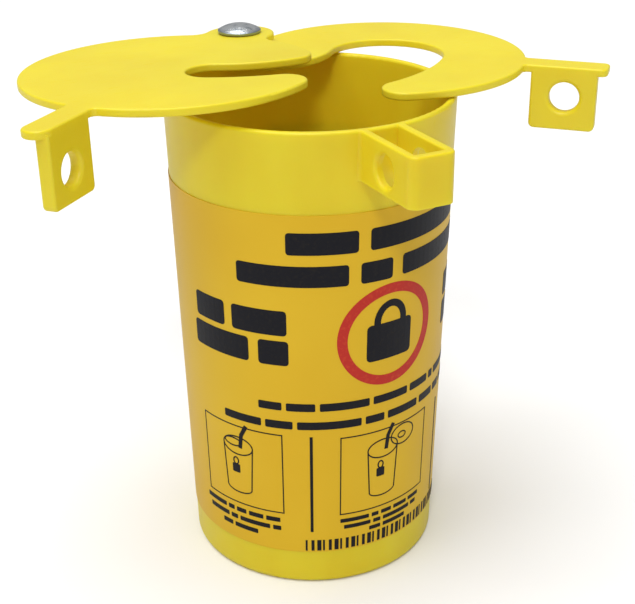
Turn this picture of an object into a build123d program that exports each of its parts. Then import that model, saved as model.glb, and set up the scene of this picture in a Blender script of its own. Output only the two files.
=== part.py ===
from build123d import *
import math
import os

# A cup that covers an electrical plug.  Two swinging lids, riveted to a lug at the back of the
# rim, close over the plug with its cord in their slots, and each lid's tab drops into a hasp box
# at the front, where one padlock goes through both tabs and the box.
#
# Millimetres.  +Z is up, the origin is the centre of the cup's underside, the rivet stands at
# +Y and the hasp box points to -Y.  A lid is drawn lying along its own +X, rivet hole at the
# origin, slot open to +Y and tab on the -Y side of its centre line.  The lower lid is its mirror.

# Cup
CUP_HEIGHT = 142.5
RIM_RADIUS = 41.5
BASE_RADIUS = 37.5
WALL = 2.2
FLOOR_THICKNESS = 2.6
FOOT_ROUND = 1.6
INNER_FOOT_ROUND = 2.5
RIM_ROUND = 0.8

# Hasp box at the front of the rim
BOX_HOLE_RADIUS = 4.5
BOX_HOLE_FROM_AXIS = 53.0
BOX_HOLE_BELOW_RIM = 7.4
BOX_WIDTH = 13.2
BOX_WALL = 2.3
BOX_FRONT_WALL = 2.8
BOX_FRONT = 66.6
BOX_DEPTH = 13.5
BOX_TURN = 0.8
BOX_CORNER_ROUND = 2.6
BOX_ROOT_ROUND = 3.0
BOX_EDGE_ROUND = 0.6
BOX_HOLE_ROUND = 1.0

# Rivet lug at the back of the rim
PIVOT_FROM_AXIS = 46.2
LUG_RADIUS = 9.0
LUG_THICKNESS = 5.0
GUSSET_THICKNESS = 3.0
GUSSET_DROP = 12.0
GUSSET_REACH = 48.0

# Lids
LID_THICKNESS = 2.3
LOWER_LID_ABOVE_RIM = 0.42
UPPER_LID_ABOVE_RIM = 3.8
DISC_RADIUS = 42.0
EAR_RADIUS = 10.6
EAR_FILLET = 5.0
JAW_TIP_ROUND = 6.3
MOUTH_ROUND = 6.0
MOUTH_END_ANGLE = 100.0
LID_EDGE_ROUND = 0.6

# Slot in each lid: an arc from a round end out through the rim of the disc.  The narrow slot
# turns about the rivet, the wide one about a point a little in front of it.
UPPER_SLOT_CENTRE = 0.0
UPPER_SLOT_PATH_RADIUS = 46.9
UPPER_SLOT_HALF_WIDTH = 7.5
UPPER_SLOT_START_ANGLE = 15.5
LOWER_SLOT_CENTRE = 7.0
LOWER_SLOT_PATH_RADIUS = 39.5
LOWER_SLOT_HALF_WIDTH = 17.1
LOWER_SLOT_START_ANGLE = -2.2

# Tab of each lid, and the plate that hangs from it
TAB_FROM_CENTRE_LINE = 0.15
TAB_WIDTH = 8.2
TAB_ROOT = 80.0
UPPER_TAB_REACH = 111.2
LOWER_TAB_REACH = 112.2
UPPER_TAB_END_ROUND = 4.0
LOWER_TAB_END_ROUND = 2.0
TAB_FILLET = 1.5
PLATE_START = 90.3
PLATE_END = 109.5
PLATE_THICKNESS = 3.9
UPPER_PLATE_DROP = 14.9
LOWER_PLATE_DROP = 16.1
PLATE_CORNER_ROUND = 1.6
PLATE_EDGE_ROUND = 0.7
PLATE_HOLE_RADIUS = 4.4
PLATE_HOLE_ROUND = 1.2
PLATE_HOLE_FROM_PIVOT = 100.2
PLATE_HOLE_BELOW_RIM = 6.4

# Lids as stored: how far each has swung open from lying over the cup.  The rivet is slack, and
# the upper lid leans on the lower one: it rises towards its slot and a little towards its tab.
UPPER_OPEN_ANGLE = 49.7
LOWER_OPEN_ANGLE = 44.0
CLOSED_DIRECTION = 270.0
LEAN_TO_SLOT = 1.55
LEAN_TO_TAB = 0.61

# Rivet and washer
SHANK_RADIUS = 2.5
RUNNING_CLEARANCE = 0.05
HEAD_RADIUS = 6.6
HEAD_ABOVE_RIM = 6.6
HEAD_HEIGHT = 2.5
HEAD_RIM_HEIGHT = 0.6
WASHER_RADIUS = 4.6
WASHER_THICKNESS = 1.0
CLINCH_RADIUS = 3.8
CLINCH_HEIGHT = 1.5
CLINCH_ROUND = 0.7
TAIL_BORE_RADIUS = 1.5
TAIL_BORE_DEPTH = 5.0

# Printed film round the cup
LABEL_BOTTOM = 11.5
LABEL_TOP = 119.8
LABEL_THICKNESS = 0.2
LABEL_GAP_ANGLE = 14.0

BIG = 200.0

LOWER_LID_Z = CUP_HEIGHT + LOWER_LID_ABOVE_RIM
UPPER_LID_Z = CUP_HEIGHT + UPPER_LID_ABOVE_RIM
HEAD_Z = CUP_HEIGHT + HEAD_ABOVE_RIM
LUG_BOTTOM = CUP_HEIGHT - LUG_THICKNESS
BOX_BOTTOM = CUP_HEIGHT - BOX_DEPTH
ON_BASE = (Align.CENTER, Align.CENTER, Align.MIN)


def outer_radius(height):
    """Outer radius of the tapered cup at a height above its underside."""
    return BASE_RADIUS + (RIM_RADIUS - BASE_RADIUS) * height / CUP_HEIGHT


def box_between(low, high):
    """A box from its lowest to its highest corner."""
    size = [high[i] - low[i] for i in range(3)]
    middle = [(high[i] + low[i]) / 2 for i in range(3)]
    return Pos(*middle) * Box(*size)


def near(point, tolerance=0.05):
    """A filter that keeps the vertices at a place in the XY plane."""
    return lambda vertex: math.hypot(vertex.X - point[0], vertex.Y - point[1]) < tolerance


def meeting_point(centre, radius, side):
    """Where a circle centred at (centre, 0) crosses the edge of a lid's disc."""
    distance = PIVOT_FROM_AXIS - centre
    x = (radius**2 - DISC_RADIUS**2 + distance**2) / (2 * distance)
    return (centre + x, side * math.sqrt(radius**2 - x**2))


def cup_hollow():
    """The tapered inside of the cup, open at the top."""
    hollow = Pos(0, 0, FLOOR_THICKNESS) * Cone(
        outer_radius(FLOOR_THICKNESS) - WALL,
        outer_radius(CUP_HEIGHT) - WALL,
        CUP_HEIGHT - FLOOR_THICKNESS,
        align=ON_BASE,
    )
    return fillet(hollow.edges().filter_by(GeomType.CIRCLE).sort_by(Axis.Z)[0], INNER_FOOT_ROUND)


def cup_body():
    """The tapered outside of the cup, solid, with its foot rounded."""
    body = Cone(BASE_RADIUS, RIM_RADIUS, CUP_HEIGHT, align=ON_BASE)
    return fillet(body.edges().filter_by(GeomType.CIRCLE).sort_by(Axis.Z)[0], FOOT_ROUND)


def wall_core():
    """Everything inside the middle of the cup's wall, to trim what is moulded onto the wall."""
    return Cone(
        outer_radius(0) - WALL / 2, outer_radius(CUP_HEIGHT) - WALL / 2, CUP_HEIGHT, align=ON_BASE
    )


def hasp_box():
    """The open box at the front, with a padlock hole through both of its side walls."""
    wall_circle = outer_radius(BOX_BOTTOM) - WALL / 4
    plan = Circle(wall_circle) + Pos(0, -BOX_FRONT / 2) * Rectangle(BOX_WIDTH, BOX_FRONT)
    half = BOX_WIDTH / 2
    for side in (-half, half):
        root = (side, -math.sqrt(wall_circle**2 - half**2))
        plan = fillet(plan.vertices().filter_by(near(root)), BOX_ROOT_ROUND)
        plan = fillet(plan.vertices().filter_by(near((side, -BOX_FRONT))), BOX_CORNER_ROUND)
    front = Pos(0, -wall_circle) * Rectangle(BOX_WIDTH + 4 * BOX_ROOT_ROUND, 2 * BOX_FRONT)
    front -= Pos(0, BOX_FRONT) * Rectangle(BIG, 2 * BOX_FRONT + wall_circle)
    pocket_front = BOX_FRONT - BOX_FRONT_WALL
    pocket = Pos(0, -pocket_front / 2) * Rectangle(BOX_WIDTH - 2 * BOX_WALL, pocket_front)
    box = extrude(Pos(0, 0, BOX_BOTTOM) * ((plan & front) - pocket), BOX_DEPTH)
    box = fillet(box.faces().sort_by(Axis.Z)[-1].edges(), BOX_EDGE_ROUND)
    hole = Pos(0, -BOX_HOLE_FROM_AXIS, CUP_HEIGHT - BOX_HOLE_BELOW_RIM) * Rot(0, 90, 0) * Cylinder(
        BOX_HOLE_RADIUS, BIG
    )
    box -= hole
    hole_rims = box.edges().filter_by(GeomType.CIRCLE).filter_by(
        lambda edge: abs(abs(edge.center().X) - half) < BOX_EDGE_ROUND
        and math.isclose(edge.radius, BOX_HOLE_RADIUS)
    )
    return Rot(0, 0, -BOX_TURN) * fillet(hole_rims, BOX_HOLE_ROUND)


def rivet_lug():
    """The round lug under the lids' ears, drawn out of the thickness of the rim."""
    lug = Pos(0, PIVOT_FROM_AXIS, LUG_BOTTOM) * Cylinder(LUG_RADIUS, LUG_THICKNESS, align=ON_BASE)
    neck = box_between((-LUG_RADIUS, 0, LUG_BOTTOM), (LUG_RADIUS, PIVOT_FROM_AXIS, CUP_HEIGHT))
    return lug + neck


def lug_gussets():
    """Two thin ribs that brace the lug against the wall, one each side of the rivet."""
    outline = Polyline(
        (0, LUG_BOTTOM),
        (GUSSET_REACH, LUG_BOTTOM),
        (RIM_RADIUS, LUG_BOTTOM - GUSSET_DROP),
        (0, LUG_BOTTOM - GUSSET_DROP),
        close=True,
    )
    rib = extrude(Plane.YZ * make_face(outline), GUSSET_THICKNESS / 2, both=True)
    side = LUG_RADIUS - GUSSET_THICKNESS / 2
    return Pos(side, 0, 0) * rib + Pos(-side, 0, 0) * rib


def make_cup():
    """Moulded cup with its hasp box and its rivet lug in one piece."""
    wall = cup_body() - cup_hollow()
    wall = fillet(wall.faces().sort_by(Axis.Z)[-1].edges(), RIM_ROUND)
    cup = wall + (hasp_box() + rivet_lug() + lug_gussets() - wall_core())
    return cup - Pos(0, PIVOT_FROM_AXIS, 0) * Cylinder(SHANK_RADIUS + RUNNING_CLEARANCE, 2 * BIG)


def slot_outline(centre, path_radius, half_width, start_angle):
    """Plan of a slot: an arc about (centre, 0) with a round end, running on past the disc."""
    start = math.radians(start_angle)
    stop = math.radians(MOUTH_END_ANGLE)
    middle = (start + stop) / 2
    sweep = make_face(
        Polyline(
            (0, 0),
            *((BIG * math.cos(angle), BIG * math.sin(angle)) for angle in (start, middle, stop)),
            close=True,
        )
    )
    slot = (Circle(path_radius + half_width) - Circle(path_radius - half_width)) & sweep
    end = Pos(path_radius * math.cos(start), path_radius * math.sin(start)) * Circle(half_width)
    return Pos(centre, 0) * (slot + end)


def lid_outline(slot, tab_reach, tab_end_round):
    """Plan of a lid: disc, ear round the rivet, slot with its mouth, and tab."""
    disc = Pos(PIVOT_FROM_AXIS, 0) * Circle(DISC_RADIUS)
    tab = Pos((TAB_ROOT + tab_reach) / 2, -TAB_FROM_CENTRE_LINE - TAB_WIDTH / 2) * Rectangle(
        tab_reach - TAB_ROOT, TAB_WIDTH
    )
    tab = fillet(tab.vertices().sort_by(Axis.X)[-2:], tab_end_round)
    outline = disc + Circle(EAR_RADIUS) + tab - slot_outline(*slot)

    centre, path_radius, half_width, _ = slot
    rounds = [
        (meeting_point(0, EAR_RADIUS, 1), EAR_FILLET),
        (meeting_point(0, EAR_RADIUS, -1), EAR_FILLET),
        (meeting_point(centre, path_radius + half_width, 1), JAW_TIP_ROUND),
        (meeting_point(centre, path_radius - half_width, 1), MOUTH_ROUND),
    ]
    for tab_side in (TAB_FROM_CENTRE_LINE, TAB_FROM_CENTRE_LINE + TAB_WIDTH):
        root_x = PIVOT_FROM_AXIS + math.sqrt(DISC_RADIUS**2 - tab_side**2)
        rounds.append(((root_x, -tab_side), TAB_FILLET))
    for place, radius in rounds:
        outline = fillet(outline.vertices().filter_by(near(place)), radius)
    return outline


def hanging_plate(lid_bottom, drop):
    """Plate that hangs from the tab into the hasp box, with its padlock hole."""
    high_side = -TAB_FROM_CENTRE_LINE
    low_side = high_side - PLATE_THICKNESS
    buried_top = lid_bottom + LID_THICKNESS / 2
    plate = box_between(
        (PLATE_START, low_side, CUP_HEIGHT - drop), (PLATE_END, high_side, buried_top)
    )
    plate = fillet(plate.edges().filter_by(Axis.Y).sort_by(Axis.Z)[:2], PLATE_CORNER_ROUND)
    faces = plate.faces().sort_by(Axis.Y)
    plate = fillet(faces[0].edges() + faces[-1].edges(), PLATE_EDGE_ROUND)
    hole = Pos(PLATE_HOLE_FROM_PIVOT, 0, CUP_HEIGHT - PLATE_HOLE_BELOW_RIM) * Rot(90, 0, 0)
    plate -= hole * Cylinder(PLATE_HOLE_RADIUS, BIG)
    hole_rims = plate.edges().filter_by(GeomType.CIRCLE).filter_by(
        lambda edge: math.isclose(edge.radius, PLATE_HOLE_RADIUS)
    )
    return fillet(hole_rims, PLATE_HOLE_ROUND)


def make_lid(outline, lid_bottom, plate_drop):
    """A lid lying along +X, not yet drilled for the rivet."""
    disc = extrude(Pos(0, 0, lid_bottom) * outline, LID_THICKNESS)
    faces = disc.faces().sort_by(Axis.Z)
    disc = fillet(faces[0].edges() + faces[-1].edges(), LID_EDGE_ROUND)
    return disc + hanging_plate(lid_bottom, plate_drop)


def on_rivet(lid, direction):
    """A lid drilled for the rivet and turned on it until it lies along a direction."""
    lid -= Cylinder(SHANK_RADIUS + RUNNING_CLEARANCE, 2 * BIG)
    return Pos(0, PIVOT_FROM_AXIS, 0) * Rot(0, 0, direction) * lid


def make_upper_lid():
    """Narrow-slotted lid, on top, leaning as the slack rivet lets it."""
    slot = (
        UPPER_SLOT_CENTRE,
        UPPER_SLOT_PATH_RADIUS,
        UPPER_SLOT_HALF_WIDTH,
        UPPER_SLOT_START_ANGLE,
    )
    outline = lid_outline(slot, UPPER_TAB_REACH, UPPER_TAB_END_ROUND)
    lid = make_lid(outline, UPPER_LID_Z, UPPER_PLATE_DROP)
    middle = UPPER_LID_Z + LID_THICKNESS / 2
    lean = Pos(0, 0, middle) * Rot(LEAN_TO_SLOT, -LEAN_TO_TAB, 0) * Pos(0, 0, -middle)
    return on_rivet(lean * lid, CLOSED_DIRECTION - UPPER_OPEN_ANGLE)


def make_lower_lid():
    """Wide-slotted lid, underneath, handed the other way."""
    slot = (
        LOWER_SLOT_CENTRE,
        LOWER_SLOT_PATH_RADIUS,
        LOWER_SLOT_HALF_WIDTH,
        LOWER_SLOT_START_ANGLE,
    )
    outline = lid_outline(slot, LOWER_TAB_REACH, LOWER_TAB_END_ROUND)
    lid = make_lid(outline, LOWER_LID_Z, LOWER_PLATE_DROP)
    return on_rivet(mirror(lid, about=Plane.XZ), CLOSED_DIRECTION + LOWER_OPEN_ANGLE)


def make_rivet():
    """Semi-tubular rivet: domed head on top, tail clinched over the washer."""
    washer_bottom = LUG_BOTTOM - WASHER_THICKNESS
    tail_end = washer_bottom - CLINCH_HEIGHT
    rim_top = HEAD_Z + HEAD_RIM_HEIGHT
    crown = HEAD_Z + HEAD_HEIGHT
    rise = crown - rim_top
    dome_radius = (HEAD_RADIUS**2 + rise**2) / (2 * rise)
    profile = Polyline((HEAD_RADIUS, rim_top), (HEAD_RADIUS, HEAD_Z), (0, HEAD_Z), (0, crown))
    profile += RadiusArc((0, crown), (HEAD_RADIUS, rim_top), dome_radius)
    head = revolve(Plane.XZ * make_face(profile), Axis.Z)
    shank = Pos(0, 0, tail_end) * Cylinder(SHANK_RADIUS, HEAD_Z - tail_end, align=ON_BASE)
    clinch = Pos(0, 0, tail_end) * Cylinder(CLINCH_RADIUS, CLINCH_HEIGHT, align=ON_BASE)
    clinch = fillet(clinch.edges().sort_by(Axis.Z)[0], CLINCH_ROUND)
    bore = Pos(0, 0, tail_end) * Cylinder(TAIL_BORE_RADIUS, TAIL_BORE_DEPTH, align=ON_BASE)
    return Pos(0, PIVOT_FROM_AXIS, 0) * (head + shank + clinch - bore)


def make_washer():
    """Flat washer between the lug and the clinched tail."""
    washer = Cylinder(WASHER_RADIUS, WASHER_THICKNESS, align=ON_BASE)
    washer -= Cylinder(SHANK_RADIUS + RUNNING_CLEARANCE, BIG)
    return Pos(0, PIVOT_FROM_AXIS, LUG_BOTTOM - WASHER_THICKNESS) * washer


def make_label():
    """Printed film wrapped round the cup, with a bare strip left at the back."""
    profile = Polyline(
        (outer_radius(LABEL_BOTTOM), LABEL_BOTTOM),
        (outer_radius(LABEL_TOP), LABEL_TOP),
        (outer_radius(LABEL_TOP) + LABEL_THICKNESS, LABEL_TOP),
        (outer_radius(LABEL_BOTTOM) + LABEL_THICKNESS, LABEL_BOTTOM),
        close=True,
    )
    film = revolve(Plane.XZ * make_face(profile), Axis.Z, revolution_arc=360 - LABEL_GAP_ANGLE)
    return Rot(0, 0, 90 + LABEL_GAP_ANGLE / 2) * film


os.makedirs("parts", exist_ok=True)
export_step(make_cup(), "parts/cup.step")
export_step(make_upper_lid(), "parts/upper_lid.step")
export_step(make_lower_lid(), "parts/lower_lid.step")
export_step(make_rivet(), "parts/rivet.step")
export_step(make_washer(), "parts/washer.step")
export_step(make_label(), "parts/label.step")
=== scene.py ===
import math
import bpy
from mathutils import Matrix, Vector


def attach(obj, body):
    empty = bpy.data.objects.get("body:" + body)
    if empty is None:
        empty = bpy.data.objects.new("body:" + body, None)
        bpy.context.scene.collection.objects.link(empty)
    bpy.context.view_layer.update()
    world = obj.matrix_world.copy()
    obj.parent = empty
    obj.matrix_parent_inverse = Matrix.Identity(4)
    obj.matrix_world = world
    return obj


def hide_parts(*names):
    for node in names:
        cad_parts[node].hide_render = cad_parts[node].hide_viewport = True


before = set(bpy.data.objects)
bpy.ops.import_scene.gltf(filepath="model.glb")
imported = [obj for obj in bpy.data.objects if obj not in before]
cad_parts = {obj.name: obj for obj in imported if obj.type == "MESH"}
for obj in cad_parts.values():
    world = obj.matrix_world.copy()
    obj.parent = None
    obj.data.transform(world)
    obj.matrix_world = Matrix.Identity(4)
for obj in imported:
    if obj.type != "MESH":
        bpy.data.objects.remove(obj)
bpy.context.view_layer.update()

# Cup.  A deep tapered cup with a hasp box on the front of its rim and a lug for the rivet at
# the back, injection moulded in one piece in yellow polypropylene, with a fine satin grain.
CUP_YELLOW = (0.870, 0.690, 0.022, 1.0)
CUP_YELLOW_DEEP = (0.830, 0.630, 0.014, 1.0)
PLASTIC_RELIEF = 0.00012
CLOUDS_PER_METRE = 35.0
STREAKS_PER_METRE = 60.0
SCUFFS_PER_METRE = 220.0
GRAIN_PER_METRE = 2600.0
UP_THE_WALL = (1.0, 1.0, 0.12)
ACROSS_THE_WALL = (1.0, 6.0, 1.0)


def add_node(tree, kind, **settings):
    """A new node in a tree, with its properties set by name."""
    node = tree.nodes.new(kind)
    for key, value in settings.items():
        setattr(node, key, value)
    return node


def feed(tree, socket, value):
    """Gives a socket a plain value, or links it to another node's output."""
    if isinstance(value, bpy.types.NodeSocket):
        tree.links.new(value, socket)
    else:
        socket.default_value = value


def maths(tree, operation, first, second):
    """The result of one sum on two values."""
    node = add_node(tree, "ShaderNodeMath", operation=operation)
    feed(tree, node.inputs[0], first)
    feed(tree, node.inputs[1], second)
    return node.outputs[0]


def spread(tree, value, low, high, to_low, to_high):
    """A value taken from one range to another, and held inside it."""
    node = add_node(tree, "ShaderNodeMapRange")
    feed(tree, node.inputs["Value"], value)
    for name, number in zip(("From Min", "From Max", "To Min", "To Max"), (low, high, to_low, to_high)):
        feed(tree, node.inputs[name], number)
    return node.outputs["Result"]


def mixed(tree, factor, first, second):
    """A blend of two colours."""
    node = add_node(tree, "ShaderNodeMix", data_type="RGBA")
    feed(tree, node.inputs["Factor"], factor)
    feed(tree, node.inputs["A"], first)
    feed(tree, node.inputs["B"], second)
    return node.outputs["Result"]


def noise(tree, place, scale, detail=2.0, stretch=(1, 1, 1)):
    """Smooth noise on object coordinates, drawn out along the axes."""
    mapping = add_node(tree, "ShaderNodeMapping")
    mapping.inputs["Scale"].default_value = stretch
    tree.links.new(place, mapping.inputs["Vector"])
    node = add_node(tree, "ShaderNodeTexNoise")
    tree.links.new(mapping.outputs["Vector"], node.inputs["Vector"])
    feed(tree, node.inputs["Scale"], scale)
    feed(tree, node.inputs["Detail"], detail)
    return node.outputs["Fac"]


def new_effect(name, inputs):
    """A node group that puts out a colour, a roughness and a height."""
    group = bpy.data.node_groups.new(name, "ShaderNodeTree")
    for label, kind in inputs:
        group.interface.new_socket(name=label, in_out="INPUT", socket_type=kind)
    group.interface.new_socket(name="Color", in_out="OUTPUT", socket_type="NodeSocketColor")
    group.interface.new_socket(name="Roughness", in_out="OUTPUT", socket_type="NodeSocketFloat")
    group.interface.new_socket(name="Height", in_out="OUTPUT", socket_type="NodeSocketFloat")
    source = group.nodes.new("NodeGroupInput").outputs
    place = group.nodes.new("ShaderNodeTexCoord").outputs["Object"]
    return group, source, place


def close_effect(group, colour, roughness, height):
    """Joins what a node group works out to its outputs."""
    end = group.nodes.new("NodeGroupOutput")
    for name, value in (("Color", colour), ("Roughness", roughness), ("Height", height)):
        group.links.new(value, end.inputs[name])


def finish_from(name, group, values, relief_depth, **shader_values):
    """A material whose colour, roughness and relief come from a node group."""
    material = bpy.data.materials.new(name)
    material.use_nodes = True
    tree = material.node_tree
    effect = add_node(tree, "ShaderNodeGroup", node_tree=group)
    for socket, value in values.items():
        effect.inputs[socket].default_value = value
    shader = tree.nodes["Principled BSDF"]
    for socket, value in shader_values.items():
        shader.inputs[socket.replace("_", " ")].default_value = value
    relief = tree.nodes.new("ShaderNodeBump")
    relief.inputs["Distance"].default_value = relief_depth
    tree.links.new(effect.outputs["Color"], shader.inputs["Base Color"])
    tree.links.new(effect.outputs["Roughness"], shader.inputs["Roughness"])
    tree.links.new(effect.outputs["Height"], relief.inputs["Height"])
    tree.links.new(relief.outputs["Normal"], shader.inputs["Normal"])
    return material


def coat_node(name, material):
    """Puts a finish on a part that came with the frame."""
    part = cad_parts[name]
    part.data.materials.clear()
    part.data.materials.append(material)


# Moulded plastic: cloudy pigment, flow streaks down the wall, a satin grain and light scuffs
moulded, given, place = new_effect(
    "moulded_plastic",
    [
        ("Pigment", "NodeSocketColor"),
        ("Deep Pigment", "NodeSocketColor"),
        ("Gloss Level", "NodeSocketFloat"),
        ("Scuffs", "NodeSocketFloat"),
    ],
)
cloud = noise(moulded, place, CLOUDS_PER_METRE, 3.0)
streak = noise(moulded, place, STREAKS_PER_METRE, 2.0, UP_THE_WALL)
grain = noise(moulded, place, GRAIN_PER_METRE, 2.0)
scuff = noise(moulded, place, SCUFFS_PER_METRE, 4.0, ACROSS_THE_WALL)
scuff = maths(moulded, "MULTIPLY", spread(moulded, scuff, 0.60, 0.68, 0.0, 1.0), given["Scuffs"])
pigment = maths(moulded, "MULTIPLY", maths(moulded, "ADD", cloud, streak), 0.5)
pigment = spread(moulded, pigment, 0.38, 0.60, 0.0, 1.0)
plastic_colour = mixed(moulded, pigment, given["Deep Pigment"], given["Pigment"])
gloss = maths(moulded, "ADD", given["Gloss Level"], spread(moulded, cloud, 0.35, 0.65, -0.03, 0.05))
gloss = maths(moulded, "ADD", gloss, maths(moulded, "MULTIPLY", scuff, 0.12))
relief = maths(moulded, "ADD", maths(moulded, "MULTIPLY", grain, 0.35), cloud)
relief = maths(moulded, "SUBTRACT", relief, maths(moulded, "MULTIPLY", scuff, 0.08))
close_effect(moulded, plastic_colour, gloss, relief)

cup_plastic = finish_from(
    "cup_plastic",
    moulded,
    {"Pigment": CUP_YELLOW, "Deep Pigment": CUP_YELLOW_DEEP, "Gloss Level": 0.34, "Scuffs": 1.0},
    PLASTIC_RELIEF,
    IOR=1.49,
    Specular_IOR_Level=0.35,
    Subsurface_Weight=0.45,
    Subsurface_Scale=1.0,
    Subsurface_Radius=(0.0060, 0.0040, 0.0006),
)
coat_node("cup", cup_plastic)

# Label.  A printed film of satin polyester, die cut, wrapped once round the cup and stuck down,
# with a narrow strip of bare wall left between its ends at the back.
CUP_HEIGHT = 0.1425
BASE_RADIUS = 0.0375
RIM_RADIUS = 0.0415
LABEL_BOTTOM = 0.0115
LABEL_TOP = 0.1198
FILM_THICKNESS = 0.0002
FILM_GAP = math.radians(14.0)
FILM_STRIPS = 360
FILM_RELIEF = 0.00022
FILM_CLOUDS_PER_METRE = 22.0
FILM_RIPPLES_PER_METRE = 45.0
FILM_TOOTH_PER_METRE = 4200.0
UP_THE_FILM = (1.0, 1.0, 0.25)
FILM_ORANGE = (0.830, 0.530, 0.016, 1.0)
FILM_ORANGE_DEEP = (0.790, 0.480, 0.010, 1.0)


def wall_radius(height):
    """Outer radius of the bare cup at a height."""
    return BASE_RADIUS + (RIM_RADIUS - BASE_RADIUS) * height / CUP_HEIGHT


def pick(piece):
    """Selects one piece alone and makes it the active one."""
    bpy.ops.object.select_all(action="DESELECT")
    piece.select_set(True)
    bpy.context.view_layer.objects.active = piece


def edit(piece, choose=None, kind="FACE"):
    """Opens a piece in edit mode with all of it, or the faces or points a rule picks, selected."""
    pick(piece)
    bpy.ops.object.mode_set(mode="EDIT")
    bpy.ops.mesh.select_mode(type=kind)
    bpy.ops.mesh.select_all(action="DESELECT" if choose else "SELECT")
    if choose:
        bpy.ops.object.mode_set(mode="OBJECT")
        for part in piece.data.polygons if kind == "FACE" else piece.data.vertices:
            part.select = choose(part)
        bpy.ops.object.mode_set(mode="EDIT")


def close_edit():
    """Back to object mode."""
    bpy.ops.object.mode_set(mode="OBJECT")


def settle(piece):
    """Leaves a piece at the origin, unturned and unscaled, with its place in its mesh."""
    pick(piece)
    bpy.ops.object.transform_apply(location=True, rotation=True, scale=True)


def apply_modifier(piece, kind, **settings):
    """Adds one modifier to a piece and applies it."""
    modifier = piece.modifiers.new(kind.lower(), kind)
    for key, value in settings.items():
        setattr(modifier, key, value)
    pick(piece)
    bpy.ops.object.modifier_apply(modifier=modifier.name)


def name_piece(piece, name, body, material):
    """Gives a finished piece its name, its finish and the body that it rides on."""
    piece.name = name
    piece.data.name = name
    piece.data.materials.clear()
    piece.data.materials.append(material)
    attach(piece, body)


bpy.ops.object.select_all(action="DESELECT")
bpy.ops.mesh.primitive_cone_add(
    vertices=FILM_STRIPS,
    radius1=wall_radius(LABEL_BOTTOM),
    radius2=wall_radius(LABEL_TOP),
    depth=LABEL_TOP - LABEL_BOTTOM,
    end_fill_type="NOTHING",
    location=(0, 0, (LABEL_BOTTOM + LABEL_TOP) / 2),
)
film = bpy.context.active_object
settle(film)
edit(film, lambda face: abs(math.atan2(face.center.x, face.center.y)) < FILM_GAP / 2)
bpy.ops.mesh.delete(type="FACE")
close_edit()
apply_modifier(film, "SOLIDIFY", thickness=FILM_THICKNESS, offset=1.0, use_even_offset=True)
bpy.ops.object.shade_smooth_by_angle(angle=math.radians(30))

# Printed film: even colour with a faint cloud, a satin face and the slight ripple of a hand wrap
printed_film, given, place = new_effect(
    "printed_film",
    [
        ("Ground", "NodeSocketColor"),
        ("Deep Ground", "NodeSocketColor"),
    ],
)
cloud = noise(printed_film, place, FILM_CLOUDS_PER_METRE, 2.0)
ripple = noise(printed_film, place, FILM_RIPPLES_PER_METRE, 1.0, UP_THE_FILM)
tooth = noise(printed_film, place, FILM_TOOTH_PER_METRE, 1.0)
cloud = spread(printed_film, cloud, 0.35, 0.65, 0.0, 1.0)
ground = mixed(printed_film, cloud, given["Deep Ground"], given["Ground"])
gloss = spread(printed_film, tooth, 0.3, 0.7, 0.36, 0.46)
relief = maths(printed_film, "ADD", maths(printed_film, "MULTIPLY", tooth, 0.03), ripple)
close_effect(printed_film, ground, gloss, relief)
film_finish = finish_from(
    "label_film",
    printed_film,
    {"Ground": FILM_ORANGE, "Deep Ground": FILM_ORANGE_DEEP},
    FILM_RELIEF,
    IOR=1.45,
    Specular_IOR_Level=0.35,
)
name_piece(film, "label_film_wrap", "cup_body", film_finish)
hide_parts("label")

# Print on the label.  Black and red ink screened on the film: rows of plain bars, a ring round a
# padlock, two framed line drawings of the cup in use, dividing rules and a strip of plain bars.
INK_SUNK = 0.00002
INK_THICKNESS = 0.00008
INK_RELIEF = 0.00002
INK_THIN_SPOTS_PER_METRE = 900.0
INK_BLACK = (0.004, 0.004, 0.008, 1.0)
INK_BLACK_THIN = (0.012, 0.010, 0.010, 1.0)
INK_RED = (0.560, 0.030, 0.018, 1.0)
INK_RED_THIN = (0.640, 0.060, 0.022, 1.0)

# The artwork is laid out flat in millimetres, across from the middle of the front and up from the
# foot of the cup, and then bent round it; these two are in metres, as the mesh is
BEND_RADIUS = 0.0399
LONGEST_STEP = 0.0022
MM = 0.001
NEARLY_HALF = 0.499
RING_POINTS = 96
FINE_LINE = 0.4
CORD_LINE = 1.3
FRAME_LINE = 0.35
RULE_LINE = 0.9
RULE_HEIGHT = 33.0
CAPTION_GAP = 1.0
CAPTION_CORNER = 0.2
STRIP_LEFT = -22.0
STRIP_FOOT = 12.0
STRIP_HEIGHT = 3.8
STRIP_PITCH = 1.8
STRIP_BARS = 34
THIN_BAR = 0.6
BAR_STEP = 0.35

# Each row of text bars: left end, foot, height, lengths of its bars, gap between them, corner
TEXT_ROWS = (
    (-26.2, 108.5, 6.4, (19.4, 38.5), 3.4, 0.9),
    (-40.4, 99.0, 6.2, (31.0, 9.6, 44.0), 3.4, 0.9),
    (-57.0, 84.0, 7.6, (11.6, 16.4), 2.6, 1.0),
    (-58.2, 74.7, 7.6, (20.4, 8.8), 3.0, 1.0),
    (30.6, 83.5, 7.6, (17.0, 10.0), 3.0, 1.0),
    (30.6, 74.2, 7.6, (9.0, 19.0), 3.0, 1.0),
    (-35.4, 60.2, 2.5, (7.0, 8.4, 14.8, 12.2, 8.6, 2.4, 18.0), 1.3, 0.4),
    (-47.4, 54.2, 2.5, (12.6, 8.2, 19.0, 6.2, 12.0, 7.6, 5.2, 17.0), 1.3, 0.4),
)
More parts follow.
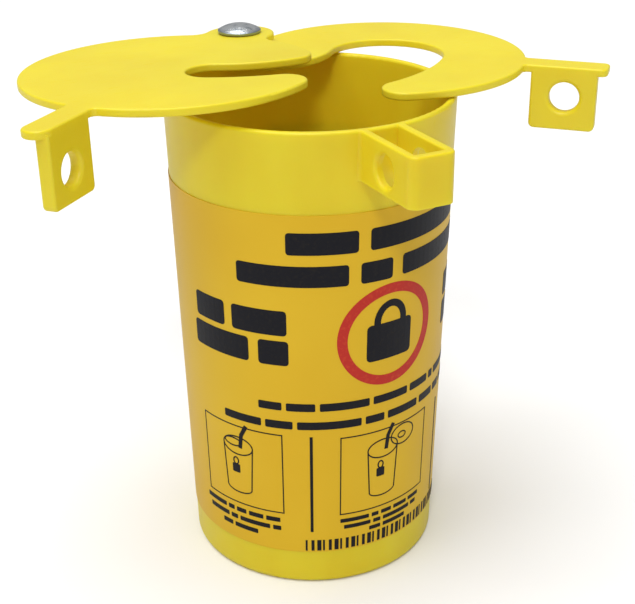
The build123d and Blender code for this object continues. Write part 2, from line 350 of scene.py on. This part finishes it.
# Each caption: foot of its top row, drop from row to row, height of a row, and for each row its
# left end and the lengths of its bars
CAPTIONS = (
    (
        21.6,
        2.9,
        1.5,
        ((-58.4, (9.0, 2.4, 3.6, 5.0, 4.6)), (-57.0, (8.6, 2.6, 10.6, 2.6)), (-51.0, (4.0, 8.6))),
    ),
    (
        21.4,
        2.3,
        1.3,
        ((-11.2, (9.4, 2.4, 3.8, 5.6, 5.2)), (-10.0, (8.8, 2.6, 11.0, 2.6)), (-1.6, (4.0, 9.0))),
    ),
)


def stretch(piece, width, height):
    """Stretches flat artwork to its width and height in its own plane."""
    piece.scale = (width, height, 1)
    bpy.ops.object.transform_apply(location=False, rotation=False, scale=True)


def ink_bar(left, bottom, length, height, corner=0.0, tilt=0.0):
    """A bar of flat artwork, with round corners if it has a corner size."""
    columns = max(1, math.ceil(length * MM / LONGEST_STEP))
    rows = max(1, math.ceil(height * MM / (4 * LONGEST_STEP)))
    bpy.ops.mesh.primitive_grid_add(
        x_subdivisions=columns,
        y_subdivisions=rows,
        size=MM,
        location=((left + length / 2) * MM, 0, (bottom + height / 2) * MM),
        rotation=(math.pi / 2, tilt, 0),
    )
    bar = bpy.context.active_object
    stretch(bar, length, height)
    if corner:
        reach = Vector((length, height)) * MM * NEARLY_HALF
        edit(bar, lambda point: abs(point.co.x) > reach.x and abs(point.co.y) > reach.y, "VERT")
        bpy.ops.mesh.bevel(offset=corner * MM, segments=3, affect="VERTICES")
        close_edit()
    return bar


def ink_row(left, bottom, height, words, gap, corner):
    """A row of bars of given lengths with the same gap between them."""
    row = []
    for length in words:
        row.append(ink_bar(left, bottom, length, height, corner))
        left += length + gap
    return row


def ink_ring(across, up, width, height, line, keep=None):
    """An oval line of flat artwork; keep, if given, picks the part of it that is drawn."""
    bpy.ops.mesh.primitive_circle_add(
        vertices=RING_POINTS,
        radius=MM / 2,
        location=(across * MM, 0, up * MM),
        rotation=(math.pi / 2, 0, 0),
    )
    ring = bpy.context.active_object
    stretch(ring, width, height)
    edit(ring, kind="VERT")
    bpy.ops.mesh.extrude_region()
    bpy.ops.transform.resize(value=(1 - 2 * line / width, 1, 1 - 2 * line / height))
    close_edit()
    if keep:
        edit(ring, lambda face: not keep(face.center / MM))
        bpy.ops.mesh.delete(type="FACE")
        close_edit()
    return ring


def ink_line(start, end, line):
    """A straight line of flat artwork between two places."""
    run = Vector(end) - Vector(start)
    middle = (Vector(start) + Vector(end)) / 2
    tilt = -math.atan2(run.y, run.x)
    return ink_bar(middle.x - run.length / 2, middle.y - line / 2, run.length, line, tilt=tilt)


def ink_frame(left, bottom, width, height, line):
    """The four sides of a framed panel."""
    return [
        ink_bar(left, bottom, width, line),
        ink_bar(left, bottom + height - line, width, line),
        ink_bar(left, bottom + line, line, height - 2 * line),
        ink_bar(left + width - line, bottom + line, line, height - 2 * line),
    ]


def ink_drawing(middle, foot, lid_open):
    """A line drawing of the cup with a cord in it, its lid shut or swung open."""
    top = foot + 14.5
    rim = ink_ring(middle, top, 11.0, 6.4, FINE_LINE)
    base = ink_ring(middle, foot, 9.4, 4.0, FINE_LINE, lambda point: point.y < 0)
    left_side = ink_line((middle - 5.3, top), (middle - 4.5, foot), FINE_LINE)
    right_side = ink_line((middle + 5.3, top), (middle + 4.5, foot), FINE_LINE)
    cord = ink_line((middle + 1.0, top - 0.6), (middle + 1.6, top + 4.2), CORD_LINE)
    cord_end = ink_line((middle + 1.6, top + 4.0), (middle + 3.4, top + 7.4), CORD_LINE)
    shackle = ink_ring(middle - 0.8, top - 5.4, 2.2, 2.8, 0.45)
    padlock = ink_bar(middle - 2.2, top - 9.4, 2.8, 2.9, 0.3)
    lines = [rim, base, left_side, right_side, cord, cord_end, shackle, padlock]
    if lid_open:
        lines.append(ink_ring(middle + 7.4, top + 2.4, 9.6, 7.0, FINE_LINE))
        lines.append(ink_ring(middle + 7.0, top + 2.2, 3.4, 2.4, FINE_LINE))
    else:
        lines.append(ink_ring(middle - 1.6, top + 1.0, 6.6, 3.0, FINE_LINE))
    return lines


def print_on_film(shapes, name, material):
    """Joins flat artwork, wraps it round the taper of the cup and gives it the ink's thickness."""
    bpy.ops.object.select_all(action="DESELECT")
    for shape in shapes:
        shape.select_set(True)
    bpy.context.view_layer.objects.active = shapes[0]
    if len(shapes) > 1:
        bpy.ops.object.join()
    artwork = bpy.context.active_object
    settle(artwork)
    artwork.data.update()
    edit(artwork, lambda face: face.normal.y > 0)
    bpy.ops.mesh.flip_normals()
    close_edit()
    for vertex in artwork.data.vertices:
        turn = vertex.co.x / BEND_RADIUS
        radius = wall_radius(vertex.co.z) + FILM_THICKNESS - INK_SUNK
        vertex.co = (radius * math.sin(turn), -radius * math.cos(turn), vertex.co.z)
    artwork.data.update()
    apply_modifier(artwork, "SOLIDIFY", thickness=INK_SUNK + INK_THICKNESS, offset=1.0)
    name_piece(artwork, name, "cup_body", material)


bpy.ops.object.select_all(action="DESELECT")
black = []
for left, foot, height, words, gap, corner in TEXT_ROWS:
    black += ink_row(left, foot, height, words, gap, corner)
black.append(ink_bar(-20.4, 18.8, RULE_LINE, RULE_HEIGHT))
black.append(ink_bar(30.2, 16.5, RULE_LINE, RULE_HEIGHT))
black += ink_frame(-57.2, 24.8, 28.8, 27.2, FRAME_LINE)
black += ink_frame(-11.4, 24.2, 32.6, 26.8, FRAME_LINE)
black += ink_drawing(-43.4, 30.6, lid_open=False)
black += ink_drawing(2.6, 30.0, lid_open=True)
for foot, drop, height, rows in CAPTIONS:
    for row, (left, words) in enumerate(rows):
        black += ink_row(left, foot - drop * row, height, words, CAPTION_GAP, CAPTION_CORNER)
for step in range(STRIP_BARS):
    width = THIN_BAR + BAR_STEP * (step % 3)
    black.append(ink_bar(STRIP_LEFT + STRIP_PITCH * step, STRIP_FOOT, width, STRIP_HEIGHT))
# The padlock inside the ring: its body, and the upper part of an oval for its shackle
black.append(ink_bar(-3.9, 74.2, 15.0, 11.4, 1.3))
black.append(ink_ring(3.6, 86.0, 10.8, 12.8, 2.1, lambda point: point.y > -1.0))

red = [ink_ring(3.6, 81.7, 32.4, 31.4, 3.0)]

# Screen ink: dense colour that thins a little where the mesh of the screen let less through
screen_ink, given, place = new_effect(
    "screen_ink",
    [
        ("Ink", "NodeSocketColor"),
        ("Thin Ink", "NodeSocketColor"),
    ],
)
thin = spread(screen_ink, noise(screen_ink, place, INK_THIN_SPOTS_PER_METRE, 3.0), 0.52, 0.75, 0.0, 1.0)
ink_colour = mixed(screen_ink, thin, given["Ink"], given["Thin Ink"])
gloss = spread(screen_ink, thin, 0.0, 1.0, 0.46, 0.56)
relief = maths(screen_ink, "SUBTRACT", 1.0, thin)
close_effect(screen_ink, ink_colour, gloss, relief)
black_ink = finish_from(
    "black_ink", screen_ink, {"Ink": INK_BLACK, "Thin Ink": INK_BLACK_THIN}, INK_RELIEF, IOR=1.3
)
red_ink = finish_from(
    "red_ink", screen_ink, {"Ink": INK_RED, "Thin Ink": INK_RED_THIN}, INK_RELIEF, IOR=1.3
)
print_on_film(black, "label_print_black", black_ink)
print_on_film(red, "label_print_red", red_ink)

# Lower lid.  The wide-slotted lid for a thick connector, cut and moulded flat in the same yellow
# plastic, with a plate hanging from its tab; it turns on the rivet, next to the rim.
LID_YELLOW = (0.870, 0.715, 0.030, 1.0)
LID_YELLOW_DEEP = (0.840, 0.670, 0.020, 1.0)
lid_plastic = finish_from(
    "lid_plastic",
    moulded,
    {"Pigment": LID_YELLOW, "Deep Pigment": LID_YELLOW_DEEP, "Gloss Level": 0.36, "Scuffs": 1.0},
    PLASTIC_RELIEF,
    IOR=1.49,
    Specular_IOR_Level=0.40,
    Subsurface_Weight=0.30,
    Subsurface_Scale=1.0,
    Subsurface_Radius=(0.0060, 0.0045, 0.0006),
)
coat_node("lower_lid", lid_plastic)

# Upper lid.  The narrow-slotted lid for a thin cord, moulded as the lower one is but handed the
# other way; it lies on top of it and leans a little on the slack rivet.
coat_node("upper_lid", lid_plastic)

# Rivet.  A domed steel rivet, bright zinc plated, through both lids' ears and the lug, with its
# tail rolled over the washer; the head keeps faint rings from the header's die, and a painted
# shade darkens its colour towards the rim of the head.
RIVET_ZINC = (0.920, 0.960, 0.990, 1.0)
# The darker colour is for random tarnish and for the painted shade at the rim of the head
RIVET_TARNISH_AND_SHADE = (0.160, 0.210, 0.270, 1.0)
RIVET_FROM_AXIS = 0.0462
HEAD_RADIUS = 0.0066
# Radius from which the painted shade darkens the head towards its rim
HEAD_SHADE_FROM = 0.0054
TARNISH_PER_METRE = 420.0
SPOTS_PER_METRE = 1500.0
STEEL_RELIEF = 0.00004

plated, given, place = new_effect(
    "plated_steel",
    [
        ("Bright", "NodeSocketColor"),
        ("Tarnish And Rim Shade", "NodeSocketColor"),
        ("Gloss Level", "NodeSocketFloat"),
        ("Rings", "NodeSocketFloat"),
    ],
)
on_axis = add_node(plated, "ShaderNodeMapping", vector_type="POINT")
on_axis.inputs["Location"].default_value = (0, -RIVET_FROM_AXIS, 0)
on_axis.inputs["Scale"].default_value = (1, 1, 0)
plated.links.new(place, on_axis.inputs["Vector"])
rings = add_node(plated, "ShaderNodeTexWave", wave_type="RINGS", rings_direction="Z")
rings.inputs["Scale"].default_value = 420.0
rings.inputs["Distortion"].default_value = 1.5
rings.inputs["Detail"].default_value = 1.0
plated.links.new(on_axis.outputs["Vector"], rings.inputs["Vector"])
from_axis = add_node(plated, "ShaderNodeVectorMath", operation="LENGTH")
plated.links.new(on_axis.outputs["Vector"], from_axis.inputs[0])
# Painted shade: the colour darkens from this radius out to the rim of the domed head, and on the
# washer's outer edge, and is merged with the random tarnish
painted_rim_shade = spread(plated, from_axis.outputs["Value"], HEAD_SHADE_FROM, HEAD_RADIUS, 0.0, 0.8)
tarnish_and_rim_shade = spread(plated, noise(plated, place, TARNISH_PER_METRE, 4.0), 0.50, 0.62, 0.0, 0.6)
tarnish_and_rim_shade = maths(plated, "MAXIMUM", tarnish_and_rim_shade, painted_rim_shade)
spots = spread(plated, noise(plated, place, SPOTS_PER_METRE, 2.0), 0.5, 0.7, 0.0, 1.0)
metal_colour = mixed(plated, tarnish_and_rim_shade, given["Bright"], given["Tarnish And Rim Shade"])
gloss = maths(plated, "ADD", given["Gloss Level"], maths(plated, "MULTIPLY", tarnish_and_rim_shade, 0.14))
relief = maths(plated, "MULTIPLY", rings.outputs["Fac"], given["Rings"])
relief = maths(plated, "ADD", relief, maths(plated, "MULTIPLY", spots, 0.4))
close_effect(plated, metal_colour, gloss, relief)
rivet_steel = finish_from(
    "rivet_steel",
    plated,
    {"Bright": RIVET_ZINC, "Tarnish And Rim Shade": RIVET_TARNISH_AND_SHADE, "Gloss Level": 0.24, "Rings": 0.5},
    STEEL_RELIEF,
    Metallic=1.0,
)
coat_node("rivet", rivet_steel)

# Washer.  A small stamped steel ring, zinc plated and duller than the rivet, that spreads the
# rolled tail of the rivet over the plastic lug.
WASHER_ZINC = (0.480, 0.500, 0.520, 1.0)
# The darker colour is for random tarnish and for the painted shade that the plated group puts on the
# washer's outer edge
WASHER_TARNISH_AND_SHADE = (0.270, 0.290, 0.320, 1.0)
washer_steel = finish_from(
    "washer_steel",
    plated,
    {"Bright": WASHER_ZINC, "Tarnish And Rim Shade": WASHER_TARNISH_AND_SHADE, "Gloss Level": 0.32, "Rings": 0.2},
    STEEL_RELIEF,
    Metallic=1.0,
)
coat_node("washer", washer_steel)

# Studio.  A white table in a white surround, a broad lamp high overhead, a smaller one at the front
# left, and the camera above the rim, left of the hasp box.  The camera sees the table and the
# surround at their whitest, but the light that they give back to the object is dimmer.
VIEW_FROM = Vector((-0.1680, -0.3182, 0.2444))
VIEW_TO = Vector((0.0015, -0.0008, 0.0759))
VIEW_ROLL = math.radians(-0.41)
LENS = 74.24
SENSOR_WIDTH = 36.0
SURROUND_LIGHT = 0.33
SURROUND_SEEN = 1.0
TABLE_SIZE = 3.6
TABLE_SEEN = (0.98, 0.98, 0.98, 1.0)
TABLE_LIGHT = (0.74, 0.74, 0.74, 1.0)
LAMPS_AIM = Vector((0, 0, 0.1))
# Each lamp: its name, place, width and power
LAMPS = (
    ("overhead", (-0.80, 0.35, 5.00), 4.0, 202.0),
    ("front", (-1.72, -2.68, 3.40), 0.8, 60.0),
)

bpy.ops.object.select_all(action="DESELECT")
bpy.ops.mesh.primitive_plane_add(size=TABLE_SIZE)
table = bpy.context.active_object
table.name = "table"
table_white = bpy.data.materials.new("table_white")
table_white.use_nodes = True
table_tree = table_white.node_tree
seen = add_node(table_tree, "ShaderNodeLightPath").outputs["Is Camera Ray"]
table_shader = table_tree.nodes["Principled BSDF"]
feed(table_tree, table_shader.inputs["Base Color"], mixed(table_tree, seen, TABLE_LIGHT, TABLE_SEEN))
table_shader.inputs["Roughness"].default_value = 0.9
table_shader.inputs["Specular IOR Level"].default_value = 0.0
table.data.materials.append(table_white)

surround = bpy.data.worlds.new("surround")
surround.use_nodes = True
surround_tree = surround.node_tree
backdrop = surround_tree.nodes["Background"]
backdrop.inputs["Color"].default_value = (1.0, 1.0, 1.0, 1.0)
seen = add_node(surround_tree, "ShaderNodeLightPath").outputs["Is Camera Ray"]
strength = spread(surround_tree, seen, 0.0, 1.0, SURROUND_LIGHT, SURROUND_SEEN)
feed(surround_tree, backdrop.inputs["Strength"], strength)
bpy.context.scene.world = surround

for name, spot, width, power in LAMPS:
    lamp_data = bpy.data.lights.new(name, "AREA")
    lamp_data.energy = power
    lamp_data.size = width
    lamp = bpy.data.objects.new(name, lamp_data)
    lamp.location = spot
    lamp.rotation_euler = (LAMPS_AIM - lamp.location).to_track_quat("-Z", "Y").to_euler()
    bpy.context.scene.collection.objects.link(lamp)

camera_data = bpy.data.cameras.new("camera")
camera_data.lens = LENS
camera_data.sensor_width = SENSOR_WIDTH
camera_data.clip_start = 0.01
camera = bpy.data.objects.new("camera", camera_data)
bpy.context.scene.collection.objects.link(camera)
aim = (VIEW_TO - VIEW_FROM).to_track_quat("-Z", "Y").to_matrix().to_4x4()
camera.matrix_world = Matrix.Translation(VIEW_FROM) @ aim @ Matrix.Rotation(VIEW_ROLL, 4, "Z")
bpy.context.scene.camera = camera
bpy.context.scene.view_settings.view_transform = "Standard"
